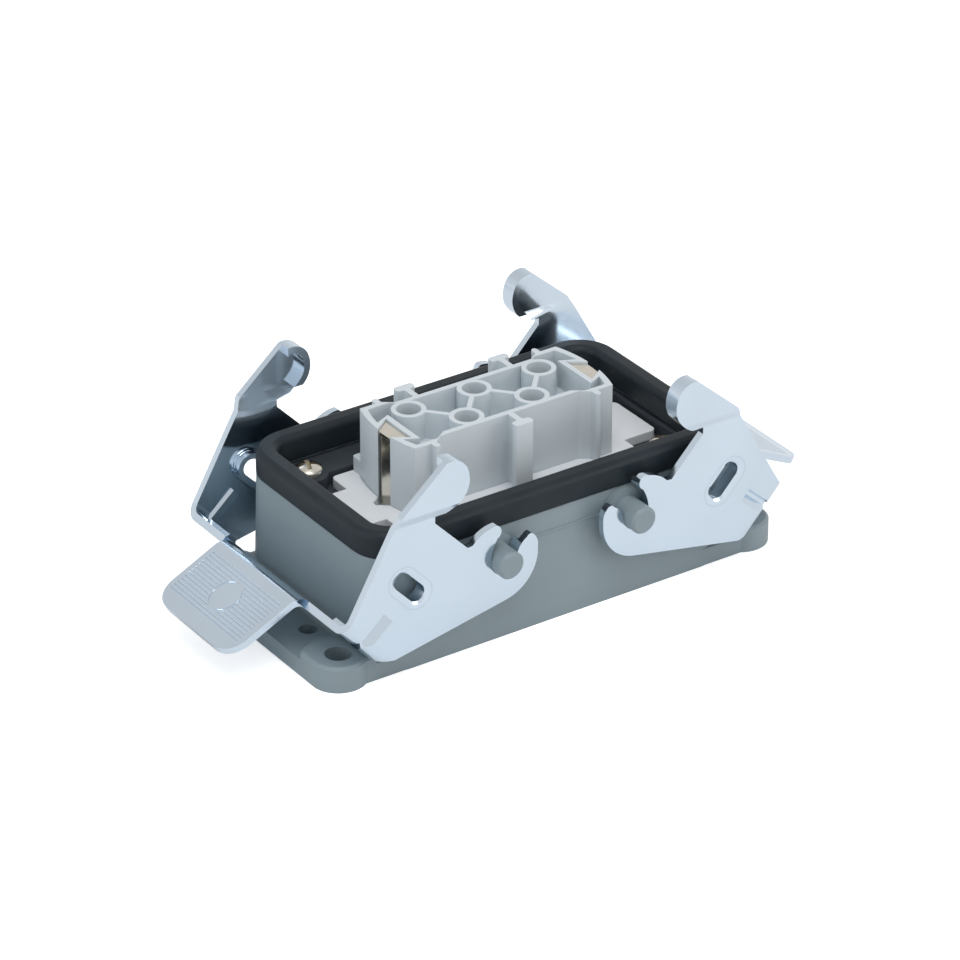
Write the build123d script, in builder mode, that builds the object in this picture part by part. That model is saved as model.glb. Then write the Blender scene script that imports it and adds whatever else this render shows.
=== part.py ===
"""Heavy duty rectangular connector: a panel-mounting housing with two locking levers
and a five-pole female contact insert. Millimetres, +Z up.

The origin is the centre of the flange's mounting face. The connector's length runs along X,
and the levers stand open, as far down as they go.
"""
from build123d import *
from math import atan, cos, degrees, radians, sin, tan
import os

os.makedirs("parts", exist_ok=True)

# Mounting flange
flange_length = 91.8
flange_pad_height = 4.7
flange_floor_height = 3.2
flange_lobe_radius = 4.9
flange_corner = 4.4
flange_edge = 0.5
fix_pitch_x = 82.0
fix_inset_y = 3.45
fix_hole = 4.6
fix_pad_radius = 6.3
vent_hole = 3.2
vent_pitch = 11.4
vent_x = 39.6

# Neck of the casting
neck_length = 71.4
neck_width = 41.3
neck_corner = 7.0
neck_height = 20.8
neck_wall = 2.7
draft_angle = 1.93
rim_height = 2.4
rim_wall = 1.5
rim_inset = 1.2
parting_line = 0.16

# Lock pins, which the levers turn on
pin_x = 13.35
pin_z = 16.85
pin_radius = 2.45
pin_height = 6.55
boss_radius = 3.9
boss_height = 1.25
pin_edge = 0.45
root = 0.5

# Housing gasket
gasket_overhang = 0.3
gasket_top = 25.6
gasket_lip = 0.9
gasket_edge = 0.8
fit_gap = 0.05

# Flange seal and its groove
seal_width = 1.6
seal_depth = 1.3
seal_margin = 0.9

# Frame that carries the insert
frame_top = 20.2
frame_thickness = 3.5
frame_ledge = 1.0
frame_gap = 0.2
frame_recess_x = 10.3
frame_recess_y = 11.5
screw_inset_x = 8.4
screw_inset_y = 7.5
screw_seat = 3.4
post_radius = 4.4
post_depth = 9.5
screw_shank = 1.5
screw_head_radius = 2.9
screw_head_height = 1.9

# Insert
insert_top = 32.4
plate_thickness = 1.8
plate_margin = 2.9
plate_width = 22.0
plate_corner = 1.0
ear_margin = 9.65
ear_width = 12.2
body_mid_half = 21.3
body_corner_half = 19.9
body_width = 14.0
body_end_width = 16.8
body_end_x = 15.8
waist_slope = 2.0
slot_in_plate = 1.8
body_wall = 1.0
body_pit_depth = 5.0
skirt_length = 46.0
skirt_width = 20.0
tube_pitch = 13.2
tube_rows = 7.5
tube_outer = 3.0
tube_bore = 2.1
rib_thickness = 0.9
key_rib_x = 9.6
key_rib_reach = 11.4
key_rib_stem = 1.1
key_head_width = 3.7
key_head_depth = 1.6
side_rib_x = 16.2
side_rib_reach = 9.9
lug_x = 18.6
lug_size = 2.6
lug_height = 2.8
key_hole_radius = 0.9
key_hole_depth = 2.5

# Earth clips in the end pockets
pocket_depth = 3.1
pocket_inner_half = 3.9
pocket_mouth_half = 1.7
pocket_centre_y = -0.9
clip_strip = 0.8
clip_gap = 0.1
clip_inset = 0.2
clip_drop = 0.4

# Rear moulding and contacts
base_bottom = 5.0
base_length = 43.0
base_flange_length = 44.6
base_flange_width = 22.6
base_flange = 2.0
socket_top_drop = 4.0
socket_radius = 2.0
socket_bore = 1.25
socket_depth = 9.0
barrel_radius = 2.9
barrel_bottom = 7.0
wire_entry = 2.3

# Levers, folded from one sheet; their outlines are measured from the pin
sheet = 1.3
arm_standoff = 4.05
running_gap = 0.08
web_angle = 48.5
web_plane = 26.4
web_low = 7.9
web_high = 17.33
bend_outer = 2.8
collar_standoff = 1.55
collar_wall = 1.2
collar_span = 6.2
arm_top = (29.75, -2.55)
arm_foot = (21.6, -11.8)
hook_foot = (-0.45, -7.57)
hook_back = (-5.1, -4.75)
hook_side = (-6.75, 0.6)
lip_back = (-6.5, 2.3)
lip_top = (-5.8, 3.25)
lip_crown = (-5.2, 3.45)
lip_inner = (-4.6, 3.05)
lip_throat = (-3.2, 1.75)
horn_throat = (2.25, 2.4)
horn_inner = (1.3, 4.55)
horn_side = (0.6, 6.2)
horn_tip = (1.35, 7.0)
horn_back = (4.0, 6.4)
horn_foot = (6.2, 4.75)
arm_step = (7.15, 4.65)
finger_root_in = 13.5
finger_root_low = 11.3
finger_root_out = 21.25
finger_heel = 11.4
finger_neck = (9.35, 13.95)
finger_waist = (7.95, 15.55)
finger_side = (7.3, 17.6)
finger_shoulder = (7.55, 19.65)
finger_round = (8.9, 21.6)
finger_tip = (11.75, 22.05)
finger_back = (20.25, 14.65)
finger_offset = 0.8
finger_height = 24.0
joggle_low = 12.55
joggle_high = 14.15
finger_rim = 3.0
finger_rim_wall = 1.2
finger_rim_low = 14.5
finger_rim_end = 11.6
oval_place = (18.35, 0.75)
oval_tilt = 47.0
oval_pitch = 3.9
oval_radius = 1.6
oval_wall = 1.0
oval_depth = 2.8
oval_funnel = 0.9
oval_funnel_depth = 0.4
flap_plane = 11.35
flap_half = 11.7
flap_slope = 25.8
flap_length = 13.4
flap_corner = 4.2
flap_relief = 1.3
flap_relief_depth = 1.0
crest_inner = 1.9
dart_leg = 7.2
dart_half = 1.25
dart_floor_low = 0.2
dart_floor_high = 0.85
dart_depth = 1.0
dart_turn = 1.2
dart_wall = 1.0

# Places worked out from the sizes above
cavity_length = neck_length - 2 * neck_wall
cavity_width = neck_width - 2 * neck_wall
pin_reach = neck_width / 2 + pin_height
boss_reach = neck_width / 2 + boss_height
arm_outer = neck_width / 2 + arm_standoff
collar_reach = neck_width / 2 + collar_standoff
fix_pitch_y = neck_width - 2 * fix_inset_y
screw_x = neck_length / 2 - screw_inset_x
screw_y = neck_width / 2 - screw_inset_y
draft = tan(radians(draft_angle))
frame_bottom = frame_top - frame_thickness
plate_bottom = frame_bottom + frame_ledge
plate_top = plate_bottom + plate_thickness
plate_length = 2 * (body_mid_half + plate_margin)
ear_length = 2 * (body_mid_half + ear_margin)
tube_places = [
    (-tube_pitch, tube_rows / 2),
    (0, tube_rows / 2),
    (tube_pitch, tube_rows / 2),
    (-tube_pitch / 2, -tube_rows / 2),
    (tube_pitch / 2, -tube_rows / 2),
]
corners = [(-1, -1), (-1, 1), (1, -1), (1, 1)]
fix_points = [(sx * fix_pitch_x / 2, sy * fix_pitch_y / 2) for sx, sy in corners]
screw_points = [(sx * screw_x, sy * screw_y) for sx, sy in corners]
pin_points = [(sx * pin_x, pin_z) for sx in (-1, 1)]


def save(piece, name):
    """Name a finished piece and write its file."""
    piece.part.label = name
    export_step(piece.part, f"parts/{name}.step")


# Housing: flange, hollow neck, rim, corner posts and lock pins in one casting
with BuildPart() as housing:
    with BuildSketch() as flange_outline:
        RectangleRounded(
            flange_length,
            neck_width + 2 * (neck_height - flange_floor_height) * draft,
            flange_corner,
        )
        with Locations(*fix_points):
            Circle(flange_lobe_radius)
    extrude(amount=flange_floor_height)
    with BuildSketch(Plane.XY.offset(flange_floor_height)):
        with Locations(*fix_points):
            Circle(fix_pad_radius)
        add(flange_outline.sketch, mode=Mode.INTERSECT)
    extrude(amount=flange_pad_height - flange_floor_height)
    chamfer(housing.edges().group_by(Axis.Z)[-1], flange_edge)
    with BuildSketch():
        RectangleRounded(
            neck_length + 2 * neck_height * draft, neck_width + 2 * neck_height * draft, neck_corner
        )
    extrude(amount=neck_height, taper=draft_angle)
    with BuildSketch(Plane.XY.offset(neck_height)):
        RectangleRounded(
            neck_length - 2 * rim_inset, neck_width - 2 * rim_inset, neck_corner - rim_inset
        )
    extrude(amount=rim_height)
    # Bosses and pins on both long walls
    for face in (Plane.XZ, Plane.XZ.rotated((0, 0, 180))):
        with BuildSketch(face.offset(cavity_width / 2 + root)):
            with Locations(*pin_points):
                Circle(boss_radius)
        extrude(amount=boss_reach - cavity_width / 2 - root)
        with BuildSketch(face.offset(boss_reach - root)):
            with Locations(*pin_points):
                Circle(pin_radius)
        extrude(amount=pin_reach - boss_reach + root)
    pin_ends = housing.edges().filter_by(
        lambda e: e.geom_type == GeomType.CIRCLE and abs(abs(e.center().Y) - pin_reach) < 0.01
    )
    chamfer(pin_ends, pin_edge)
    # Parting line of the die along the long walls
    with BuildSketch(Plane.XY.offset(pin_z - parting_line)):
        Rectangle(
            2 * (pin_x - boss_radius - 2 * root),
            neck_width + 2 * (neck_height - pin_z) * draft + 2 * parting_line,
        )
    extrude(amount=2 * parting_line)
    # Through cavity
    with BuildSketch():
        RectangleRounded(cavity_length, cavity_width, neck_corner - neck_wall)
    extrude(amount=neck_height + rim_height, mode=Mode.SUBTRACT)
    with BuildSketch(Plane.XY.offset(neck_height)):
        RectangleRounded(
            neck_length - 2 * rim_inset - 2 * rim_wall,
            neck_width - 2 * rim_inset - 2 * rim_wall,
            neck_corner - rim_inset - rim_wall,
        )
    extrude(amount=rim_height, mode=Mode.SUBTRACT)
    # Corner posts under the frame
    with BuildSketch(Plane.XY.offset(frame_bottom)):
        with Locations(*screw_points):
            Circle(post_radius)
        for sx, sy in corners:
            for inset_x, inset_y in ((0, post_radius), (post_radius, 0)):
                start_x = screw_x - inset_x
                start_y = screw_y - inset_y
                size_x = neck_length / 2 - start_x
                size_y = neck_width / 2 - start_y
                with Locations((sx * (start_x + size_x / 2), sy * (start_y + size_y / 2))):
                    Rectangle(size_x, size_y)
        RectangleRounded(
            cavity_length + 2 * root, cavity_width + 2 * root, neck_corner - neck_wall, mode=Mode.INTERSECT
        )
    extrude(amount=-post_depth)
    # Fixing and vent holes, and the groove for the flange seal
    with Locations(*[(x, y, flange_pad_height) for x, y in fix_points]):
        Hole(fix_hole / 2, depth=flange_pad_height)
    with Locations(*[(sx * vent_x, sy * vent_pitch / 2, flange_floor_height) for sx, sy in corners]):
        Hole(vent_hole / 2, depth=flange_floor_height)
    with BuildSketch():
        RectangleRounded(
            cavity_length + 2 * (seal_margin + seal_width),
            cavity_width + 2 * (seal_margin + seal_width),
            neck_corner - neck_wall + seal_margin + seal_width,
        )
        RectangleRounded(
            cavity_length + 2 * seal_margin,
            cavity_width + 2 * seal_margin,
            neck_corner - neck_wall + seal_margin,
            mode=Mode.SUBTRACT,
        )
    extrude(amount=seal_depth, mode=Mode.SUBTRACT)
save(housing, "housing")

# Flange seal, flush with the mounting face when it is squeezed
with BuildPart() as flange_seal:
    with BuildSketch():
        RectangleRounded(
            cavity_length + 2 * (seal_margin + seal_width - fit_gap),
            cavity_width + 2 * (seal_margin + seal_width - fit_gap),
            neck_corner - neck_wall + seal_margin + seal_width - fit_gap,
        )
        RectangleRounded(
            cavity_length + 2 * (seal_margin + fit_gap),
            cavity_width + 2 * (seal_margin + fit_gap),
            neck_corner - neck_wall + seal_margin + fit_gap,
            mode=Mode.SUBTRACT,
        )
    extrude(amount=seal_depth)
save(flange_seal, "flange_seal")

# Gasket on the rim, with a channel underneath for the rim and a lip inside the neck
gasket_inner_length = cavity_length - 2 * gasket_lip
gasket_inner_width = cavity_width - 2 * gasket_lip
with BuildPart() as housing_gasket:
    with BuildSketch(Plane.XY.offset(neck_height)):
        RectangleRounded(
            neck_length + 2 * gasket_overhang,
            neck_width + 2 * gasket_overhang,
            neck_corner + gasket_overhang,
        )
    extrude(amount=gasket_top - neck_height)
    with BuildSketch(Plane.XY.offset(neck_height)):
        RectangleRounded(
            gasket_inner_length, gasket_inner_width, neck_corner - neck_wall - gasket_lip
        )
    extrude(amount=gasket_top - neck_height, mode=Mode.SUBTRACT)
    chamfer(housing_gasket.edges().group_by(Axis.Z)[-1], gasket_edge)
    with BuildSketch(Plane.XY.offset(neck_height)):
        RectangleRounded(
            neck_length - 2 * rim_inset + 2 * fit_gap,
            neck_width - 2 * rim_inset + 2 * fit_gap,
            neck_corner - rim_inset + fit_gap,
        )
        RectangleRounded(
            neck_length - 2 * rim_inset - 2 * rim_wall - 2 * fit_gap,
            neck_width - 2 * rim_inset - 2 * rim_wall - 2 * fit_gap,
            neck_corner - rim_inset - rim_wall - fit_gap,
            mode=Mode.SUBTRACT,
        )
    extrude(amount=rim_height, mode=Mode.SUBTRACT)
save(housing_gasket, "housing_gasket")

# Frame that lies on the posts, with a ledge under the insert's base plate
with BuildPart() as insert_frame:
    with BuildSketch(Plane.XY.offset(frame_bottom)):
        RectangleRounded(
            cavity_length - 2 * frame_gap, cavity_width - 2 * frame_gap, neck_corner - neck_wall
        )
    extrude(amount=frame_thickness)
    with BuildSketch(Plane.XY.offset(plate_bottom)):
        RectangleRounded(2 * (body_mid_half + frame_recess_x), 2 * frame_recess_y, plate_corner)
        with Locations(*screw_points):
            Circle(screw_seat, mode=Mode.SUBTRACT)
    extrude(amount=frame_top - plate_bottom, mode=Mode.SUBTRACT)
    with BuildSketch(Plane.XY.offset(frame_bottom)):
        Rectangle(skirt_length + 2 * fit_gap, skirt_width + 2 * fit_gap)
        with Locations(*screw_points):
            Circle(screw_shank + fit_gap)
        with Locations((-screw_x, 0), (screw_x, 0)):
            Circle(screw_shank + fit_gap)
    extrude(amount=frame_thickness, mode=Mode.SUBTRACT)
save(insert_frame, "insert_frame")


def body_outline(grow):
    """The insert's outline, bowed at its ends and waisted along its sides, grown by a margin."""
    half = body_width / 2 + grow
    end_half = body_end_width / 2 + grow
    corner = -body_corner_half - grow
    waist_start = -body_end_x + waist_slope - grow
    waist_end = -body_end_x - grow
    with BuildSketch() as outline:
        with BuildLine():
            Polyline((0, half), (waist_start, half), (waist_end, end_half), (corner, end_half))
            ThreePointArc((corner, end_half), (-body_mid_half - grow, 0), (corner, -end_half))
            Polyline((corner, -end_half), (waist_end, -end_half), (waist_start, -half), (0, -half))
            mirror(about=Plane.YZ)
        make_face()
    return outline.sketch


def pocket_outline(side, grow):
    """The dovetail pocket in an end wall, grown by a margin."""
    inner = side * (body_mid_half - pocket_depth - grow)
    outer = side * (body_mid_half + slot_in_plate)
    slope = (pocket_inner_half - pocket_mouth_half) / pocket_depth
    mouth = pocket_mouth_half - slope * slot_in_plate + grow * (1 + slope)
    with BuildSketch() as outline:
        with BuildLine():
            Polyline(
                (inner, pocket_centre_y - pocket_inner_half - grow),
                (inner, pocket_centre_y + pocket_inner_half + grow),
                (outer, pocket_centre_y + mouth),
                (outer, pocket_centre_y - mouth),
                close=True,
            )
        make_face()
    return outline.sketch


def end_slots():
    """The dovetail pockets of both ends, with the slots that go on into the plate."""
    with BuildSketch() as outline:
        for side in (-1, 1):
            add(pocket_outline(side, 0))
        Rectangle(2 * (body_mid_half + slot_in_plate), body_width, mode=Mode.INTERSECT)
    return outline.sketch


# Plate round the foot of the insert, with an ear at each end
with BuildPart() as insert_plate:
    with BuildSketch(Plane.XY.offset(plate_bottom)):
        RectangleRounded(plate_length, plate_width, plate_corner)
        RectangleRounded(ear_length, ear_width, plate_corner)
        add(body_outline(fit_gap), mode=Mode.SUBTRACT)
        add(end_slots(), mode=Mode.SUBTRACT)
    extrude(amount=plate_thickness)
save(insert_plate, "insert_plate")

# Insert body: foot, thin outer wall, five tubes, zigzag ribs and keyed ribs outside
with BuildPart() as insert_body:
    with BuildSketch(Plane.XY.offset(frame_bottom)):
        Rectangle(skirt_length, skirt_width)
    extrude(amount=frame_ledge)
    with BuildSketch(Plane.XY.offset(plate_bottom)):
        add(body_outline(0))
    extrude(amount=insert_top - plate_bottom)
    # Open pit between the tubes
    with BuildSketch(Plane.XY.offset(insert_top - body_pit_depth)):
        add(body_outline(-body_wall))
    extrude(amount=body_pit_depth, mode=Mode.SUBTRACT)
    with BuildSketch(Plane.XY.offset(insert_top - body_pit_depth)):
        with Locations(*tube_places):
            Circle(tube_outer)
        with BuildLine(mode=Mode.PRIVATE) as zigzag:
            Polyline(*[tube_places[i] for i in (0, 3, 1, 4, 2)])
        trace(zigzag.line, rib_thickness)
        for side in (-1, 1):
            add(pocket_outline(side, body_wall))
        add(body_outline(0), mode=Mode.INTERSECT)
    extrude(amount=body_pit_depth)
    # Dovetail pockets and the slots down to the frame
    with BuildSketch(Plane.XY.offset(plate_bottom)):
        add(end_slots())
    extrude(amount=insert_top - plate_bottom, mode=Mode.SUBTRACT)
    # Keyed ribs along both sides
    with BuildSketch(Plane.XY.offset(plate_top)):
        for x, sy in ((0, -1), (-key_rib_x, 1), (key_rib_x, 1)):
            with Locations((x, sy * (body_width / 2 + key_rib_reach) / 2)):
                Rectangle(key_rib_stem, key_rib_reach - body_width / 2)
            with Locations((x, sy * (key_rib_reach - key_head_depth / 2))):
                Rectangle(key_head_width, key_head_depth)
        for x in (-side_rib_x, side_rib_x):
            with Locations((x, 0)):
                Rectangle(key_rib_stem, 2 * side_rib_reach)
        add(body_outline(-body_wall / 2), mode=Mode.SUBTRACT)
    extrude(amount=insert_top - plate_top)
    with Locations((-lug_x, body_end_width / 2 + lug_size / 2, plate_top + lug_height / 2)):
        Box(lug_size, lug_size, lug_height)
    # Contact bores
    with Locations(*[(x, y, insert_top) for x, y in tube_places]):
        Hole(tube_bore, depth=insert_top - frame_bottom)
    with Locations((tube_pitch, -tube_rows / 2 - key_hole_radius, insert_top - body_pit_depth)):
        Hole(key_hole_radius, depth=key_hole_depth)
save(insert_body, "insert_body")

# Rear moulding with a stepped bore for each contact and its wire
with BuildPart() as insert_base:
    with BuildSketch(Plane.XY.offset(base_bottom)):
        Rectangle(base_length, skirt_width)
    extrude(amount=frame_bottom - base_bottom)
    with BuildSketch(Plane.XY.offset(frame_bottom - base_flange)):
        Rectangle(base_flange_length, base_flange_width)
    extrude(amount=base_flange)
    with Locations(*[(x, y, frame_bottom) for x, y in tube_places]):
        Hole(barrel_radius + fit_gap, depth=frame_bottom - barrel_bottom)
        Hole(wire_entry, depth=frame_bottom - base_bottom)
save(insert_base, "insert_base")

# Contacts
for number, (x, y) in enumerate(tube_places, start=1):
    socket_top = insert_top - socket_top_drop
    with BuildPart() as contact:
        with Locations((x, y, (barrel_bottom + frame_bottom) / 2)):
            Cylinder(barrel_radius, frame_bottom - barrel_bottom)
        with Locations((x, y, (frame_bottom + socket_top) / 2)):
            Cylinder(socket_radius, socket_top - frame_bottom)
        with Locations((x, y, socket_top)):
            Hole(socket_bore, depth=socket_depth)
    save(contact, f"contact_{number}")

# Earth clips: a strip down each end slot, folded over into the dovetail pocket
for side, name in ((-1, "earth_clip_left"), (1, "earth_clip_right")):
    strip_x = side * (body_mid_half - clip_strip)
    with BuildPart() as earth_clip:
        with BuildSketch(Plane.XY.offset(insert_top - clip_drop)):
            add(pocket_outline(side, -clip_gap))
            add(body_outline(-clip_inset), mode=Mode.INTERSECT)
        extrude(amount=-clip_strip)
        with Locations((strip_x, pocket_centre_y, (plate_bottom + insert_top - clip_drop) / 2)):
            Box(clip_strip, 2 * pocket_mouth_half - 4 * clip_gap, insert_top - clip_drop - plate_bottom)
    save(earth_clip, name)


def plain_screw(place, length, way):
    """A plain screw through the frame, its head's seat at the given place."""
    with BuildPart() as screw:
        with Locations((0, 0, screw_head_height / 2)):
            Cylinder(screw_head_radius, screw_head_height)
        with Locations((0, 0, -length / 2)):
            Cylinder(screw_shank, length)
    with BuildPart() as placed:
        add(screw.part.moved(Location(place, (0, 0, 0) if way > 0 else (180, 0, 0))))
    return placed


for number, (x, y) in enumerate(screw_points, start=1):
    save(plain_screw((x, y, frame_top), frame_thickness, 1), f"fixing_screw_{number}")
for side, name in ((-1, "earth_screw_left"), (1, "earth_screw_right")):
    save(plain_screw((side * screw_x, 0, frame_bottom), frame_ledge, -1), name)


# Levers, built round the pin's axis and then placed
web_dir = Vector(cos(radians(web_angle)), 0, sin(radians(web_angle)))
web_out = Vector(sin(radians(web_angle)), 0, -cos(radians(web_angle)))
flap_dir = Vector(cos(radians(flap_slope)), 0, -sin(radians(flap_slope)))
flap_up = Vector(sin(radians(flap_slope)), 0, cos(radians(flap_slope)))
slot_radius = pin_radius + running_gap
funnel_taper = degrees(atan(oval_funnel / oval_funnel_depth))
far = 3 * arm_outer


def on_web(out, along):
    """A point of the side view, from its distance out to the web and its height along the web."""
    p = web_out * out + web_dir * along
    return (p.X, p.Z)


def face_of(edge):
    """A flat face inside a closed line."""
    with BuildSketch() as outline:
        add(edge.line)
        make_face()
    return outline.sketch


def arm_outline():
    """Side view of the lever below its joggle, with the hook round the pin."""
    with BuildLine() as edge:
        Polyline(
            (finger_root_out, joggle_low),
            arm_top,
            on_web(web_plane, web_high),
            on_web(web_plane, web_low),
            arm_foot,
            hook_foot,
        )
        ThreePointArc(hook_foot, hook_back, hook_side)
        ThreePointArc(hook_side, lip_back, lip_top)
        ThreePointArc(lip_top, lip_crown, lip_inner)
        ThreePointArc(lip_inner, lip_throat, (-slot_radius, 0))
        ThreePointArc((-slot_radius, 0), (0, -slot_radius), (slot_radius, 0))
        ThreePointArc((slot_radius, 0), horn_throat, horn_inner)
        ThreePointArc(horn_inner, horn_side, horn_tip)
        ThreePointArc(horn_tip, horn_back, horn_foot)
        Polyline(
            horn_foot,
            arm_step,
            (finger_root_in, finger_root_low),
            (finger_root_in, joggle_low),
            (finger_root_out, joggle_low),
        )
    return face_of(edge)


def finger_outline():
    """Side view of the finger above the joggle."""
    with BuildLine() as edge:
        Line((finger_root_in, joggle_low), (finger_heel, joggle_low))
        ThreePointArc((finger_heel, joggle_low), finger_neck, finger_waist)
        ThreePointArc(finger_waist, finger_side, finger_shoulder)
        ThreePointArc(finger_shoulder, finger_round, finger_tip)
        Polyline(
            finger_tip,
            finger_back,
            (finger_root_out, joggle_low),
            (finger_root_in, joggle_low),
        )
    return face_of(edge)


def oval(radius):
    """The slanted oval of the burred hole."""
    with BuildSketch() as shape:
        with Locations(Location((*oval_place, 0), oval_tilt)):
            SlotCenterToCenter(oval_pitch, 2 * radius)
    return shape.sketch


def across_web(out, side, along):
    """A point of the channel, from its distances out, to the side and along the web."""
    return web_out * out + web_dir * along + Vector(0, side, 0)


# Solid inside the bends
across = Plane(origin=(0, 0, 0), x_dir=web_out, z_dir=web_dir)
with BuildPart() as lever_block:
    with BuildSketch(across):
        with Locations((web_plane - far / 2, 0)):
            RectangleRounded(far, 2 * arm_outer, bend_outer)
    extrude(amount=far, both=True)

# Bar that presses a groove into one bend, and the rib that it raises inside
dart_along = (web_low + web_high) / 2
dart_start = across_web(web_plane - dart_leg, arm_outer, dart_along)
dart_end = across_web(web_plane, arm_outer - dart_leg, dart_along)
dart_section = Plane(origin=dart_start, x_dir=(0, 1, 0), z_dir=web_out)
with BuildPart() as dart_bar:
    with BuildLine() as dart_path:
        Line(dart_start, across_web(web_plane - dart_turn, arm_outer, dart_along))
        ThreePointArc(
            across_web(web_plane - dart_turn, arm_outer, dart_along),
            across_web(
                web_plane - dart_turn * (1 - cos(radians(45))),
                arm_outer - dart_turn * (1 - cos(radians(45))),
                dart_along,
            ),
            across_web(web_plane, arm_outer - dart_turn, dart_along),
        )
        Line(across_web(web_plane, arm_outer - dart_turn, dart_along), dart_end)
    with BuildSketch(dart_section):
        with BuildLine():
            Polyline(
                (-dart_depth, dart_floor_low),
                (0, -dart_half),
                (dart_wall, -dart_half),
                (dart_wall, dart_half),
                (0, dart_half),
                (-dart_depth, dart_floor_high),
                close=True,
            )
        make_face()
    sweep(path=dart_path.wire())
with BuildPart() as dart_rib:
    with BuildLine() as rib_path:
        Polyline(
            across_web(web_plane - dart_leg - dart_wall, arm_outer, dart_along),
            across_web(web_plane, arm_outer, dart_along),
            across_web(web_plane, arm_outer - dart_leg - dart_wall, dart_along),
        )
    with BuildSketch(Plane(origin=rib_path.line @ 0, x_dir=(0, 1, 0), z_dir=web_out)):
        with BuildLine():
            Polyline(
                (-dart_depth - dart_wall, dart_floor_low - dart_wall / 2),
                (0, -dart_half - dart_wall),
                (0, dart_half + dart_wall),
                (-dart_depth - dart_wall, dart_floor_high + dart_wall / 2),
                close=True,
            )
        make_face()
    sweep(path=rib_path.wire(), transition=Transition.RIGHT)
    add(lever_block.part, mode=Mode.INTERSECT)

# Web and arms of the folded channel
with BuildPart() as channel:
    add(lever_block.part)
    with BuildSketch(across):
        with Locations((web_plane - sheet - far / 2, 0)):
            RectangleRounded(far, 2 * (arm_outer - sheet), bend_outer - sheet)
    extrude(amount=far, both=True, mode=Mode.SUBTRACT)
    add(dart_rib.part)
    add(dart_rib.part.mirror(Plane.XZ))
    add(dart_bar.part, mode=Mode.SUBTRACT)
    add(dart_bar.part.mirror(Plane.XZ), mode=Mode.SUBTRACT)
    with BuildSketch(Plane.XZ):
        add(arm_outline())
    extrude(amount=far, both=True, mode=Mode.INTERSECT)
    with BuildSketch(Plane(origin=web_dir * web_low, x_dir=web_out, z_dir=web_dir)):
        with Locations((web_plane, 0)):
            Rectangle(4 * sheet, 2 * (arm_outer - bend_outer))
    extrude(amount=-far, mode=Mode.SUBTRACT)

# Finger of the near arm: a joggled strip, turned in round its tip
finger_face = arm_outer + finger_offset
with BuildPart() as finger:
    with BuildSketch(Plane.YZ):
        with BuildLine():
            Polyline(
                (-arm_outer, joggle_low),
                (-finger_face, joggle_high),
                (-finger_face, finger_height),
                (-finger_face + sheet, finger_height),
                (-finger_face + sheet, joggle_high),
                (-arm_outer + sheet, joggle_low),
                close=True,
            )
        make_face()
    extrude(amount=far)
    with BuildSketch(Plane.XZ):
        add(finger_outline())
    extrude(amount=far, mode=Mode.INTERSECT)
    with BuildSketch(Plane.XZ.offset(finger_face - finger_rim)):
        add(finger_outline())
        offset(finger_outline(), amount=-finger_rim_wall, mode=Mode.SUBTRACT)
        with Locations((0, finger_rim_low)):
            Rectangle(finger_rim_end, finger_height, align=(Align.MIN, Align.MIN), mode=Mode.INTERSECT)
    extrude(amount=finger_rim)

# Collars of the near arm: round the pin and round the burred hole
with BuildPart() as collars:
    with BuildSketch(Plane.XZ.offset(collar_reach)):
        add(arm_outline())
        offset(arm_outline(), amount=-collar_wall, mode=Mode.SUBTRACT)
        Circle(collar_span, mode=Mode.INTERSECT)
        with Locations((0, -slot_radius - collar_wall)):
            Rectangle(2 * (slot_radius + collar_wall), far, align=(Align.CENTER, Align.MIN), mode=Mode.INTERSECT)
    extrude(amount=arm_outer - sheet - collar_reach)
    with BuildSketch(Plane.XZ.offset(arm_outer - oval_depth)):
        add(oval(oval_radius + oval_wall))
    extrude(amount=oval_depth - sheet)

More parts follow.
